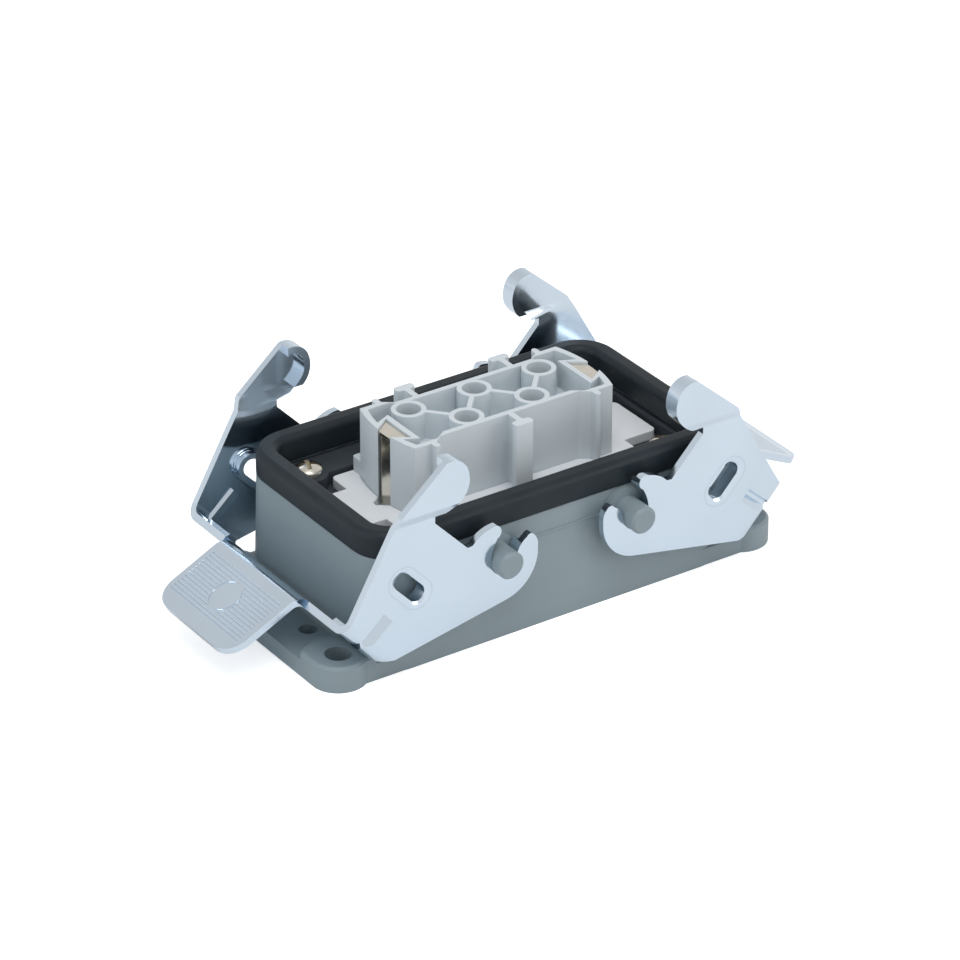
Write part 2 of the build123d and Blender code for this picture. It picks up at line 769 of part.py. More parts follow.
# Right lever: channel, two fingers and collars, and the flap beyond the crest
crest_out = web_plane + crest_inner
crest_outer = crest_inner + sheet
crest_along = flap_plane - sheet - crest_inner - web_out.dot(flap_up) * crest_out
crest_along = crest_along / web_dir.dot(flap_up)
crest_centre = web_out * crest_out + web_dir * crest_along
flap_start = crest_centre + flap_up * crest_outer
flap_top = Plane(origin=flap_start, x_dir=flap_dir, z_dir=flap_up)
with BuildPart() as lever:
    add(channel.part)
    for piece in (finger, collars):
        add(piece.part)
        add(piece.part.mirror(Plane.XZ))
    # Holes inside the oval collars, with a shallow funnel outside
    with BuildSketch(Plane.XZ):
        add(oval(oval_radius))
    extrude(amount=far, both=True, mode=Mode.SUBTRACT)
    for face in (Plane.XZ.offset(arm_outer), Plane.XZ.offset(-arm_outer)):
        way = -1 if face.origin.Y < 0 else 1
        with BuildSketch(face):
            add(oval(oval_radius + oval_funnel))
        extrude(amount=way * oval_funnel_depth, taper=funnel_taper, mode=Mode.SUBTRACT)
    # The web gives way to the crest between two relief cuts
    with BuildSketch(Plane(origin=web_dir * crest_along, x_dir=web_out, z_dir=web_dir)):
        with Locations((web_plane, 0)):
            Rectangle(4 * sheet, 2 * (flap_half + flap_relief))
    extrude(amount=far, mode=Mode.SUBTRACT)
    relief_start = web_dir * (crest_along - flap_relief_depth)
    with BuildSketch(Plane(origin=relief_start, x_dir=web_out, z_dir=web_dir)):
        for sy in (-1, 1):
            with Locations((web_plane, sy * (flap_half + flap_relief / 2))):
                Rectangle(4 * sheet, flap_relief)
    extrude(amount=far, mode=Mode.SUBTRACT)
    with BuildSketch(Plane.XZ):
        with BuildLine():
            c = (crest_centre.X, crest_centre.Z)
            away = Vector(*c) - Vector(web_out.X, web_out.Z) * crest_outer
            near = Vector(*c) - Vector(web_out.X, web_out.Z) * crest_inner
            turn = web_angle + 90 - (90 - flap_slope)
            CenterArc(c, crest_outer, 90 - flap_slope, turn)
            CenterArc(c, crest_inner, 90 - flap_slope, turn)
            Line(away, near)
            end = Vector(flap_up.X, flap_up.Z)
            Line(Vector(*c) + end * crest_inner, Vector(*c) + end * crest_outer)
        make_face()
    extrude(amount=flap_half, both=True)
    with BuildSketch(flap_top):
        with Locations((flap_length / 2, 0)):
            flap_shape = Rectangle(flap_length, 2 * flap_half)
        fillet(flap_shape.vertices().group_by(Axis.X)[-1], flap_corner)
    extrude(amount=-sheet)

with BuildPart() as lever_right:
    add(lever.part.moved(Location((pin_x, 0, pin_z))))
save(lever_right, "lever_right")
with BuildPart() as lever_left:
    add(lever_right.part.mirror(Plane.YZ))
save(lever_left, "lever_left")
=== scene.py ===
"""Panel-mounting connector housing with two locking levers: its finishes and its fine pieces."""

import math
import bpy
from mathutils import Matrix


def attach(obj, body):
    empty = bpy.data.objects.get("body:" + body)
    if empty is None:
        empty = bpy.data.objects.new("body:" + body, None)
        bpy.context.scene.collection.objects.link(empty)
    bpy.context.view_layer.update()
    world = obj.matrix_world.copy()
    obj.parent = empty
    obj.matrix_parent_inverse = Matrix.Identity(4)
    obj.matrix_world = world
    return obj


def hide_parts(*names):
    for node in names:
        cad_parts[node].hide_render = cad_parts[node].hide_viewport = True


bl_info = {
    "name": "Lever-lock connector housing",
    "version": (1, 0, 0),
    "blender": (4, 5, 0),
    "location": "View3D > Sidebar > Connector",
    "description": "Dresses a rectangular connector housing, its insert and its two sheet-metal levers",
    "category": "Object",
}

import bmesh
import bpy
from bpy.props import FloatProperty, FloatVectorProperty, IntProperty, PointerProperty
from mathutils import Vector

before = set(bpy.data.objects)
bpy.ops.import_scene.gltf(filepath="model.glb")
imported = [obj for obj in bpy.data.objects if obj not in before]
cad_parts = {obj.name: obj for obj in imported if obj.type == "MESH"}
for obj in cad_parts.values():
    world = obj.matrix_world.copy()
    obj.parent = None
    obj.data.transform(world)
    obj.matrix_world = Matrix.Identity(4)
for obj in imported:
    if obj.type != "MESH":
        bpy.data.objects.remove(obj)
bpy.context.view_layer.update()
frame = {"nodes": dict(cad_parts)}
MM = 0.001

# How a copy of a CAD node is merged, rounded and shaded
MERGE_DISTANCE = 0.002 * MM
FLAT_ANGLE = math.radians(0.2)
ROUNDED_FROM = math.radians(28.0)
CREASED_FROM = math.radians(20.0)

# Grip: a point on the right flap's upper face in X and Z, and how far down the slope from it
# the grip's middle lies
FLAP_POINT = (46.819 * MM, 13.277 * MM)
GRIP_AWAY = 5.6 * MM
GRIP_SLOPE = math.radians(25.8)
GRIP_MIDDLE = (
    FLAP_POINT[0] + GRIP_AWAY * math.cos(GRIP_SLOPE),
    FLAP_POINT[1] - GRIP_AWAY * math.sin(GRIP_SLOPE),
)
GRIP_LENGTH = 21.0 * MM
FIELD_STEPS = 48
CUTTER_DEPTH = 2.0 * MM

# Coined line round the oval hole of the right lever, in X and Z; the left one mirrors it. Its relief is a
# bump, and its darker tone is painted shade
OVAL_RING = {
    "place": (31.7 * MM, 17.6 * MM),
    "tilt": math.radians(47),
    "half": 1.95 * MM,
    "radius": 2.85 * MM,
    "width": 0.22 * MM,
    "depth": -0.05 * MM,
    # Darker tone multiplied into the coined line: painted shade
    "painted_shade_tone": (0.86, 0.86, 0.88),
}

# Heads of the insert's key ribs: how far out in Y they start, and the radius of their corners
RIB_HEAD_START = 9.75 * MM
RIB_HEAD_ROUND = 0.7 * MM

# Screws: the places of each set, and the head's outline as shares of its radius and height
FIXING_SCREWS = {
    "spacing": (54.6 * MM, 26.3 * MM),
    "rows": 2,
    "height": 20.2 * MM,
    "tip": 0.0,
    "head": 1.9 * MM,
    "shank": 3.4 * MM,
    "nodes": [f"fixing_screw_{i}" for i in range(1, 5)],
}
EARTH_SCREWS = {
    "spacing": (54.6 * MM, 0.0),
    "rows": 1,
    "height": 16.7 * MM,
    "tip": math.pi,
    "head": 1.8 * MM,
    "shank": 0.95 * MM,
    "nodes": ["earth_screw_left", "earth_screw_right"],
}
SCREW_SHANK = 1.45 * MM
SCREW_SEED = 3
HEAD_STEPS = (0.35, 0.62, 0.82, 0.94)
HEAD_DROP = 0.45
HEAD_CURVE = 2.4
HEAD_SIDE = 0.5
HEAD_FOOT = 0.98
HEAD_CHAMFER = 0.05 * MM
CLIP_EDGE = 0.12 * MM

# Contacts: radius and height in millimetres, up the bore, over the mouth and down the outside
CONTACT_OUTLINE = (
    (0.0, 19.4),
    (1.25, 19.9),
    (1.25, 27.9),
    (1.55, 28.4),
    (1.85, 28.25),
    (2.0, 28.0),
    (2.0, 16.7),
    (2.9, 16.7),
    (2.9, 7.0),
    (0.0, 7.0),
)
CONTACT_TOP = 28.4 * MM
CONTACT_PITCH = 13.2 * MM
ROW_DISTANCE = 7.5 * MM
SLIT_LENGTH = 6.0 * MM
SLIT_REACH = 6.0 * MM
# For each row: its contacts, its place across in row distances, and its start in pitches
CONTACT_ROWS = ((3, 0.5, -1.0), (2, -0.5, -0.5))
TURNED_STEPS = 40

# Stage
FLOOR_HALF = 1.5
CAMERA_PLACE = (-0.39752, -0.58435, 0.41092)
CAMERA_AIM = (0.000444, 0.002673, 0.015)
SENSOR_WIDTH = 36
# Each lamp's name, place, target, side and colour
LAMPS = (
    ("key_lamp", (-0.15, -0.35, 0.9), (0, 0, 0), 0.6, (1, 1, 1)),
    ("fill_lamp", (0.55, -0.7, 0.35), (0, 0, 0.02), 0.5, (1, 1, 1)),
    ("side_lamp", (-0.8, 0.1, 0.3), (0, 0, 0.02), 0.5, (0.78, 0.91, 1.0)),
)

# A Mix node's colour sockets, which share their names with those of its other kinds
MIX_SHARE, MIX_FIRST, MIX_SECOND, MIX_RESULT = 0, 6, 7, 2


def colour_property(name, description, default):
    """A colour that a user can change."""
    return FloatVectorProperty(
        name=name, description=description, default=default, size=3, min=0.0, max=1.0, subtype="COLOR"
    )


def share_property(name, description, default):
    """A number from nothing to all."""
    return FloatProperty(
        name=name, description=description, default=default, min=0.0, max=1.0, subtype="FACTOR"
    )


def length_property(name, description, default):
    """A length in metres."""
    return FloatProperty(
        name=name, description=description, default=default, min=0.0, precision=5, unit="LENGTH"
    )


def strength_property(name, description, default):
    """A lamp's strength in watts."""
    return FloatProperty(name=name, description=description, default=default, min=0.0)


class CastingLook(bpy.types.PropertyGroup):
    """Powder-coated die casting."""

    coat: colour_property("Coat", "Colour of the powder coat", (0.222, 0.276, 0.302))
    sheen: share_property("Roughness", "How matt the coat is", 0.44)
    edge: length_property("Edge rounding", "Radius that softens the casting's edges", 0.45 * MM)


class RubberLook(bpy.types.PropertyGroup):
    """Moulded gasket."""

    compound: colour_property("Compound", "Colour of the rubber", (0.013, 0.019, 0.024))
    sheen: share_property("Roughness", "How matt the rubber is", 0.42)
    edge: length_property("Edge rounding", "Radius that rounds the gasket's bead", 0.50 * MM)


class MouldingLook(bpy.types.PropertyGroup):
    """Moulded contact insert."""

    resin: colour_property("Resin", "Colour of the light moulding", (0.585, 0.640, 0.675))
    plate: colour_property("Plate", "Colour of the paler base plate", (0.740, 0.770, 0.800))
    frame: colour_property("Frame", "Colour of the dark frame under the insert", (0.040, 0.048, 0.057))
    edge: length_property("Edge rounding", "Radius that softens the moulding's edges", 0.15 * MM)


class LeverLook(bpy.types.PropertyGroup):
    """Zinc-plated sheet levers with a grip on their flaps."""

    zinc: colour_property("Zinc", "Colour of the plating", (0.65, 0.745, 0.84))
    sheen: share_property("Roughness", "How blurred the plating's reflections are", 0.12)
    edge: length_property("Edge rounding", "Radius that softens the blanked edges", 0.20 * MM)
    lines: IntProperty(name="Grip lines", description="Number of grooves across each flap", default=13, min=1)
    pitch: length_property("Grip pitch", "Distance from one groove to the next", 0.76 * MM)
    groove: length_property("Groove side", "Side of the square bar that presses a V groove", 0.20 * MM)
    field: length_property("Plain field", "Radius of the plain round in the middle of the grip", 3.1 * MM)


class FastenerLook(bpy.types.PropertyGroup):
    """Plated screws, clips and contacts."""

    nickel: colour_property("Nickel", "Colour of the screws and clips", (0.72, 0.68, 0.60))
    silver: colour_property("Silver", "Colour of the contact sockets", (0.76, 0.75, 0.71))
    head: length_property("Screw head", "Radius of a screw's head", 2.5 * MM)
    span: length_property("Recess span", "Length of the cross recess", 3.3 * MM)
    slot: length_property("Recess width", "Width of the cross recess", 0.75 * MM)
    bite: length_property("Recess depth", "Depth of the cross recess", 2.6 * MM)
    slit: length_property("Slit width", "Width of the slits that make a socket springy", 0.4 * MM)


class StageLook(bpy.types.PropertyGroup):
    """Floor, light and camera."""

    floor: colour_property("Floor", "Colour of the floor", (0.90, 0.90, 0.90))
    glow: share_property("Floor white", "How much white the camera sees in the floor besides its light", 0.56)
    world: share_property("World", "Strength of the light from all round", 0.62)
    horizon: share_property("Horizon", "How bright the plating sees the room near the floor", 0.90)
    zenith: share_property("Zenith", "How bright the plating sees the room overhead", 0.60)
    key: strength_property("Key", "Strength of the large lamp above", 3.6)
    fill: strength_property("Fill", "Strength of the lamp in front", 1.6)
    side: strength_property("Side", "Strength of the cool lamp at the left", 1.2)
    lens: FloatProperty(
        name="Lens",
        description="Focal length of the camera",
        default=179.57,
        min=1.0,
        subtype="DISTANCE_CAMERA",
    )


def put(tree, socket, value):
    """Link a socket to another, or set it to a plain value."""
    if isinstance(value, bpy.types.NodeSocket):
        tree.links.new(value, socket)
    else:
        socket.default_value = value


def feed(tree, node, **inputs):
    """Link or set a node's inputs by name."""
    for name, value in inputs.items():
        put(tree, node.inputs[name.replace("_", " ")], value)
    return node


def blank_material(name, **values):
    """A material whose principled shader holds the given plain values."""
    material = bpy.data.materials.new(name)
    material.use_nodes = True
    tree = material.node_tree
    shader = next(n for n in tree.nodes if n.type == "BSDF_PRINCIPLED")
    return material, tree, feed(tree, shader, **values)


def add_node(tree, kind, settings=None, **inputs):
    """A node with its settings, and its inputs either linked or set."""
    node = tree.nodes.new(kind)
    for name, value in (settings or {}).items():
        setattr(node, name, value)
    return feed(tree, node, **inputs)


def number(tree, operation, *values):
    """The result of a sum on sockets or plain numbers."""
    node = add_node(tree, "ShaderNodeMath", {"operation": operation})
    for socket, value in zip(node.inputs, values):
        put(tree, socket, value)
    return node.outputs[0]


def vector_of(tree, x=0.0, y=0.0, z=0.0):
    """A vector from three numbers or sockets."""
    return add_node(tree, "ShaderNodeCombineXYZ", X=x, Y=y, Z=z).outputs[0]


def chosen(tree, which, first, second):
    """The second value where a ray is of a kind, and the first elsewhere."""
    return add_node(tree, "ShaderNodeMix", Factor=which, A=first, B=second).outputs["Result"]


def place_coordinates(tree, stretch=(1, 1, 1)):
    """Object coordinates, stretched along the axes."""
    source = tree.nodes.new("ShaderNodeTexCoord").outputs["Object"]
    return add_node(tree, "ShaderNodeMapping", Vector=source, Scale=stretch).outputs["Vector"]


def noise(tree, where, per_metre, detail=2.0):
    """Smooth noise with so many cells to the metre."""
    return add_node(
        tree, "ShaderNodeTexNoise", Vector=where, Scale=per_metre, Detail=detail, Roughness=0.5
    ).outputs["Fac"]


def spread(tree, value, low, high, to_low, to_high):
    """A value mapped from one span to another and kept inside it."""
    return add_node(
        tree,
        "ShaderNodeMapRange",
        Value=value,
        From_Min=low,
        From_Max=high,
        To_Min=to_low,
        To_Max=to_high,
    ).outputs["Result"]


def mixed(tree, share, first, second, blend="MIX"):
    """Two colours mixed by a share."""
    node = add_node(tree, "ShaderNodeMix", {"data_type": "RGBA", "blend_type": blend})
    put(tree, node.inputs[MIX_SHARE], share)
    for index, colour in ((MIX_FIRST, first), (MIX_SECOND, second)):
        plain = not isinstance(colour, bpy.types.NodeSocket)
        put(tree, node.inputs[index], (*colour, 1) if plain else colour)
    return node.outputs[MIX_RESULT]


def tint(colour, amount):
    """A colour made lighter or darker."""
    return tuple(min(1.0, c * amount) for c in colour)


def relief(tree, height, depth, strength=1.0, normal=None):
    """A bump of the given depth in metres, over another if there is one."""
    node = add_node(tree, "ShaderNodeBump", Height=height, Distance=depth, Strength=strength)
    if normal is not None:
        tree.links.new(normal, node.inputs["Normal"])
    return node.outputs["Normal"]


def clouded(tree, cloud, colour, low, high, start=0.3, end=0.7):
    """A colour that a cloud makes darker and lighter."""
    return mixed(tree, spread(tree, cloud, start, end, 0, 1), tint(colour, low), tint(colour, high))


def powder_coat(look):
    """Satin powder coat with an orange-peel skin and a faint cloud."""
    material, tree, shader = blank_material("powder_coat", Specular_IOR_Level=0.42)
    where = place_coordinates(tree)
    cloud = noise(tree, where, per_metre=70, detail=3.0)
    grain = noise(tree, where, per_metre=2600)
    peel = relief(tree, noise(tree, where, per_metre=620, detail=1.0), depth=0.03 * MM, strength=0.5)
    feed(
        tree,
        shader,
        Base_Color=clouded(tree, cloud, look.coat, 0.96, 1.04),
        Roughness=spread(tree, grain, 0.3, 0.7, look.sheen - 0.06, look.sheen + 0.08),
        Normal=relief(tree, grain, depth=0.012 * MM, strength=0.6, normal=peel),
    )
    return material


def gasket_rubber(look):
    """Dark moulded rubber with a dusty, slightly uneven skin."""
    material, tree, shader = blank_material("gasket_rubber", Specular_IOR_Level=0.22)
    where = place_coordinates(tree)
    dust = noise(tree, where, per_metre=160, detail=4.0)
    skin = noise(tree, where, per_metre=1800, detail=3.0)
    feed(
        tree,
        shader,
        Base_Color=clouded(tree, dust, look.compound, 1.0, 1.35, 0.35, 0.75),
        Roughness=spread(tree, dust, 0.3, 0.7, look.sheen - 0.05, look.sheen + 0.10),
        Normal=relief(tree, skin, depth=0.02 * MM, strength=0.5),
    )
    return material


def moulded_resin(name, resin, low, high):
    """Light moulding with faint flow marks and a fine spark-eroded skin."""
    material, tree, shader = blank_material(name, Specular_IOR_Level=0.45)
    where = place_coordinates(tree)
    flow = noise(tree, where, per_metre=110, detail=3.0)
    grain = noise(tree, where, per_metre=3600)
    feed(
        tree,
        shader,
        Base_Color=clouded(tree, flow, resin, 0.98, 1.02),
        Roughness=spread(tree, grain, 0.3, 0.7, low, high),
        Normal=relief(tree, grain, depth=0.010 * MM, strength=0.5),
    )
    return material


def dark_frame(look):
    """Dark satin frame under the insert."""
    material, tree, shader = blank_material("dark_frame", Specular_IOR_Level=0.25)
    where = place_coordinates(tree)
    cloud = noise(tree, where, per_metre=240, detail=3.0)
    feed(
        tree,
        shader,
        Base_Color=clouded(tree, cloud, look.frame, 1.0, 1.18),
        Roughness=spread(tree, cloud, 0.3, 0.7, 0.42, 0.55),
        Normal=relief(tree, noise(tree, where, per_metre=2800), depth=0.01 * MM, strength=0.5),
    )
    return material


def bright_zinc(look):
    """Blue-white zinc plating on rolled sheet: even gloss, faint rolling lines and a light haze."""
    material, tree, shader = blank_material("bright_zinc", Metallic=1.0)
    where = place_coordinates(tree)
    haze = noise(tree, where, per_metre=55, detail=3.0)
    lines = noise(tree, place_coordinates(tree, (1, 0.08, 1)), per_metre=900)
    ring = slot_ring_bump_and_shade(tree)
    plating = clouded(tree, haze, look.zinc, 0.97, 1.03)
    gloss = spread(tree, haze, 0.3, 0.7, look.sheen - 0.02, look.sheen + 0.04)
    waves = relief(tree, noise(tree, where, per_metre=140, detail=1.0), depth=0.02 * MM, strength=0.25)
    rolled = relief(tree, lines, depth=0.002 * MM, strength=0.3, normal=waves)
    feed(
        tree,
        shader,
        # The coined line is darkened here with painted shade; its relief is the bump below
        Base_Color=mixed(tree, ring, plating, OVAL_RING["painted_shade_tone"], "MULTIPLY"),
        Roughness=number(tree, "ADD", gloss, spread(tree, lines, 0.3, 0.7, -0.02, 0.03)),
        Normal=relief(tree, ring, depth=OVAL_RING["depth"], normal=rolled),
    )
    return material


def slot_ring_bump_and_shade(tree):
    """One on the coined line round each oval hole, for its bump and painted shade, and nothing elsewhere."""
    place = add_node(tree, "ShaderNodeSeparateXYZ", Vector=place_coordinates(tree)).outputs
    along = number(tree, "SUBTRACT", number(tree, "ABSOLUTE", place["X"]), OVAL_RING["place"][0])
    up = number(tree, "SUBTRACT", place["Z"], OVAL_RING["place"][1])
    turned = add_node(
        tree,
        "ShaderNodeVectorRotate",
        {"rotation_type": "Z_AXIS"},
        Vector=vector_of(tree, along, up),
        Angle=-OVAL_RING["tilt"],
    )
    slot = add_node(tree, "ShaderNodeSeparateXYZ", Vector=turned.outputs[0]).outputs
    past = number(tree, "SUBTRACT", number(tree, "ABSOLUTE", slot["X"]), OVAL_RING["half"])
    beyond = number(tree, "POWER", number(tree, "MAXIMUM", past, 0.0), 2.0)
    aside = number(tree, "MULTIPLY", slot["Y"], slot["Y"])
    away = number(tree, "SQRT", number(tree, "ADD", beyond, aside))
    gap = number(tree, "SUBTRACT", away, OVAL_RING["radius"])
    return spread(tree, number(tree, "ABSOLUTE", gap), 0, OVAL_RING["width"], 1, 0)


def plain_metal(name, colour, sheen):
    """Plated small metal with a light cloud."""
    material, tree, shader = blank_material(name, Metallic=1.0)
    where = place_coordinates(tree)
    cloud = noise(tree, where, per_metre=400)
    skin = noise(tree, where, per_metre=2000, detail=1.0)
    feed(
        tree,
        shader,
        Base_Color=clouded(tree, cloud, colour, 0.95, 1.04),
        Roughness=spread(tree, cloud, 0.3, 0.7, sheen - 0.03, sheen + 0.05),
        Normal=relief(tree, skin, depth=0.003 * MM, strength=0.3),
    )
    return material


def new_tree(name, sizes):
    """A geometry tree that takes a mesh and named sizes, and its group input's sockets."""
    tree = bpy.data.node_groups.new(name, "GeometryNodeTree")
    tree.interface.new_socket("Geometry", in_out="INPUT", socket_type="NodeSocketGeometry")
    for label, value in sizes.items():
        kind = {int: "NodeSocketInt", float: "NodeSocketFloat"}.get(type(value), "NodeSocketVector")
        tree.interface.new_socket(label, in_out="INPUT", socket_type=kind).default_value = value
    tree.interface.new_socket("Geometry", in_out="OUTPUT", socket_type="NodeSocketGeometry")
    return tree, tree.nodes.new("NodeGroupInput").outputs


def end_tree(tree, geometry, material):
    """Close a tree: make the instances real and give them the material."""
    real = add_node(tree, "GeometryNodeRealizeInstances", Geometry=geometry)
    finish = add_node(tree, "GeometryNodeSetMaterial", Geometry=real.outputs[0], Material=material)
    out = tree.nodes.new("NodeGroupOutput")
    tree.links.new(finish.outputs[0], out.inputs[0])


def block(tree, x, y, z):
    """A box of the given sizes."""
    return add_node(tree, "GeometryNodeMeshCube", Size=vector_of(tree, x, y, z)).outputs["Mesh"]


def cylinder(tree, radius, depth):
    """A round body of the given radius and depth."""
    return add_node(
        tree, "GeometryNodeMeshCylinder", Vertices=FIELD_STEPS, Radius=radius, Depth=depth
    ).outputs["Mesh"]


def row_of(tree, count, pitch):
    """Points in a row along X, from the origin on."""
    return add_node(
        tree, "GeometryNodeMeshLine", Count=count, Offset=vector_of(tree, pitch)
    ).outputs["Mesh"]


def joined(tree, *parts):
    """Several geometries as one."""
    node = tree.nodes.new("GeometryNodeJoinGeometry")
    for part in reversed(parts):
        tree.links.new(part, node.inputs[0])
    return node.outputs[0]


def carved(tree, body, cutter, crossing=False):
    """A body less a cutter, whose own parts may cross."""
    node = tree.nodes.new("GeometryNodeMeshBoolean")
    node.operation = "DIFFERENCE"
    node.solver = "EXACT" if crossing else "MANIFOLD"
    if crossing:
        node.inputs["Self Intersection"].default_value = True
    tree.links.new(body, node.inputs["Mesh 1"])
    tree.links.new(cutter, node.inputs["Mesh 2"])
    return node.outputs["Mesh"]


def moved(tree, geometry, place, turn=(0.0, 0.0, 0.0)):
    """A geometry turned and then shifted."""
    return add_node(
        tree, "GeometryNodeTransform", Geometry=geometry, Translation=place, Rotation=turn
    ).outputs[0]


def run_tree(piece, tree, sizes):
    """Run a geometry tree on a piece with the given sizes, and keep the mesh that it makes."""
    modifier = piece.modifiers.new(tree.name, "NODES")
    modifier.node_group = tree
    for item in tree.interface.items_tree:
        if item.in_out == "INPUT" and item.name in sizes:
            modifier[item.identifier] = sizes[item.name]
    return bake_modifiers(piece)


def turned_mesh(name, profile):
    """A closed body turned about the Z axis from the radii and heights of its outline."""
    work = bmesh.new()
    turns = [2 * math.pi * i / TURNED_STEPS for i in range(TURNED_STEPS)]
    rings = [
        [
            work.verts.new((radius * math.cos(turn), radius * math.sin(turn), height))
            for turn in (turns if radius > 0 else turns[:1])
        ]
        for radius, height in profile
    ]
    for upper, lower in zip(rings, rings[1:]):
        for i in range(TURNED_STEPS):
            j = (i + 1) % TURNED_STEPS
            corners = [(upper, i), (lower, i), (lower, j), (upper, j)]
            work.faces.new(list(dict.fromkeys(ring[k % len(ring)] for ring, k in corners)))
    bmesh.ops.recalc_face_normals(work, faces=work.faces)
    mesh = bpy.data.meshes.new(name)
    work.to_mesh(mesh)
    work.free()
    return mesh


def new_piece(name, data):
    """A mesh, lamp or camera as an object of the scene."""
    piece = bpy.data.objects.new(name, data)
    bpy.context.scene.collection.objects.link(piece)
    return piece


def shade(piece):
    """Smooth shading with creases at sharp edges, led by the large faces."""
    piece.data.shade_smooth()
    piece.data.set_sharp_from_angle(angle=CREASED_FROM)
    weighted = piece.modifiers.new("Normals", "WEIGHTED_NORMAL")
    weighted.keep_sharp = True
    weighted.weight = 100
    bake_modifiers(piece)


def softened_copy(node, rounding, material, body, segments=2, round_heads=None):
    """A merged copy of a CAD node with its sharp edges rounded, which then stands for the node."""
    mesh = frame["nodes"][node].data.copy()
    mesh.name = node + "_finish"
    work = bmesh.new()
    work.from_mesh(mesh)
    bmesh.ops.remove_doubles(work, verts=work.verts, dist=MERGE_DISTANCE)
    bmesh.ops.dissolve_limit(
        work,
        angle_limit=FLAT_ANGLE,
        use_dissolve_boundaries=False,
        verts=work.verts,
        edges=work.edges,
    )
    if round_heads:
        round_heads(work)
    work.to_mesh(mesh)
    work.free()
    mesh.materials.clear()
    mesh.materials.append(material)
    piece = new_piece(node + "_finish", mesh)
    bevel = piece.modifiers.new("Edges", "BEVEL")
    bevel.width = rounding
    bevel.segments = segments
    bevel.limit_method = "ANGLE"
    bevel.angle_limit = ROUNDED_FROM
    bevel.use_clamp_overlap = True
    bake_modifiers(piece)
    shade(piece)
    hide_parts(node)
    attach(piece, body)
    return piece


def bake_modifiers(piece):
    """Turn a piece's modifiers into its mesh."""
    graph = bpy.context.evaluated_depsgraph_get()
    done = bpy.data.meshes.new_from_object(piece.evaluated_get(graph))
    piece.modifiers.clear()
    piece.data = done
    return piece


def paint(node, material):
    """Give a CAD node its material."""
    mesh = frame["nodes"][node].data
    mesh.materials.clear()
    mesh.materials.append(material)


class CONNECTOR_OT_housing(bpy.types.Operator):
    """Coat the die-cast housing"""

    bl_idname = "connector.housing"
    bl_label = "Housing"

    def execute(self, context):
        look = context.scene.connector_casting
        softened_copy("housing", look.edge, powder_coat(look), "base")
        return {"FINISHED"}


class CONNECTOR_OT_gaskets(bpy.types.Operator):
    """Finish the two rubber gaskets"""

    bl_idname = "connector.gaskets"
    bl_label = "Gaskets"

    def execute(self, context):
        look = context.scene.connector_rubber
        rubber = gasket_rubber(look)
        softened_copy("housing_gasket", look.edge, rubber, "base", segments=3)
        paint("flange_seal", rubber)
        return {"FINISHED"}


class CONNECTOR_OT_insert(bpy.types.Operator):
    """Finish the moulded insert and its frame"""

    bl_idname = "connector.insert"
    bl_label = "Insert"

    def execute(self, context):
        look = context.scene.connector_moulding
        resin = moulded_resin("light_resin", look.resin, 0.36, 0.50)
        pale = moulded_resin("pale_resin", look.plate, 0.40, 0.54)
        softened_copy(
            "insert_body", look.edge, resin, "base", round_heads=self.round_rib_heads
        )
        softened_copy("insert_plate", look.edge, pale, "base")
        softened_copy("insert_frame", look.edge, dark_frame(look), "base")
        paint("insert_base", resin)
        return {"FINISHED"}

    def round_rib_heads(self, work):
        """Round the upright corners of the key ribs' heads."""
        heads = [
            edge
            for edge in work.edges
            if all(abs(v.co.y) > RIB_HEAD_START for v in edge.verts)
            and (edge.verts[0].co.xy - edge.verts[1].co.xy).length < 0.01 * MM
            and edge.calc_face_angle(0) > math.radians(60)
        ]
        bmesh.ops.bevel(
            work,
            geom=heads,
            offset=RIB_HEAD_ROUND,
            segments=4,
            profile=0.5,
            affect="EDGES",
            clamp_overlap=True,
        )


class CONNECTOR_OT_levers(bpy.types.Operator):
    """Plate the two folded levers and press the grips into their flaps"""

    bl_idname = "connector.levers"
    bl_label = "Levers"

    def execute(self, context):
        look = context.scene.connector_lever
        zinc = bright_zinc(look)
        sizes = {
            "Lines": look.lines,
            "Pitch": look.pitch,
            "Groove": look.groove,
            "Length": GRIP_LENGTH,
            "Field": look.field,
            "Place": (0.0, 0.0, 0.0),
            "Turn": (0.0, 0.0, 0.0),
        }
        tree = self.grip_tree(sizes, zinc)
        for side, sign, turn in (("left", -1, math.pi), ("right", 1, 0.0)):
            piece = softened_copy("lever_" + side, look.edge, zinc, side + "_lever")
            sizes["Place"] = (sign * GRIP_MIDDLE[0], 0.0, GRIP_MIDDLE[1])
            sizes["Turn"] = (0.0, GRIP_SLOPE, turn)
            run_tree(piece, tree, sizes)
            shade(piece)
        return {"FINISHED"}

    def grip_tree(self, sizes, material):
        """Parallel grooves across a flap, broken by a plain round field."""
        tree, given = new_tree("flap_grip", sizes)
        pitch, groove, field = given["Pitch"], given["Groove"], given["Field"]
        span = number(tree, "MULTIPLY", number(tree, "SUBTRACT", given["Lines"], 1.0), pitch)
        start = number(tree, "MULTIPLY", span, -0.5)
        centred = moved(tree, row_of(tree, given["Lines"], pitch), vector_of(tree, start))
        bar = block(tree, groove, given["Length"], groove)
        edge_down = moved(tree, bar, (0.0, 0.0, 0.0), (0.0, math.radians(45), 0.0))
        bars = add_node(tree, "GeometryNodeInstanceOnPoints", Points=centred, Instance=edge_down)
        real = add_node(tree, "GeometryNodeRealizeInstances", Geometry=bars.outputs[0])
        disc = cylinder(tree, number(tree, "ADD", field, groove), CUTTER_DEPTH)
        core = cylinder(tree, number(tree, "SUBTRACT", field, groove), CUTTER_DEPTH)
        ring = carved(tree, cylinder(tree, field, groove), core)
        cutter = joined(tree, carved(tree, real.outputs[0], disc), ring)
        placed = moved(tree, cutter, given["Place"], given["Turn"])
        end_tree(tree, carved(tree, given["Geometry"], placed), material)
        return tree


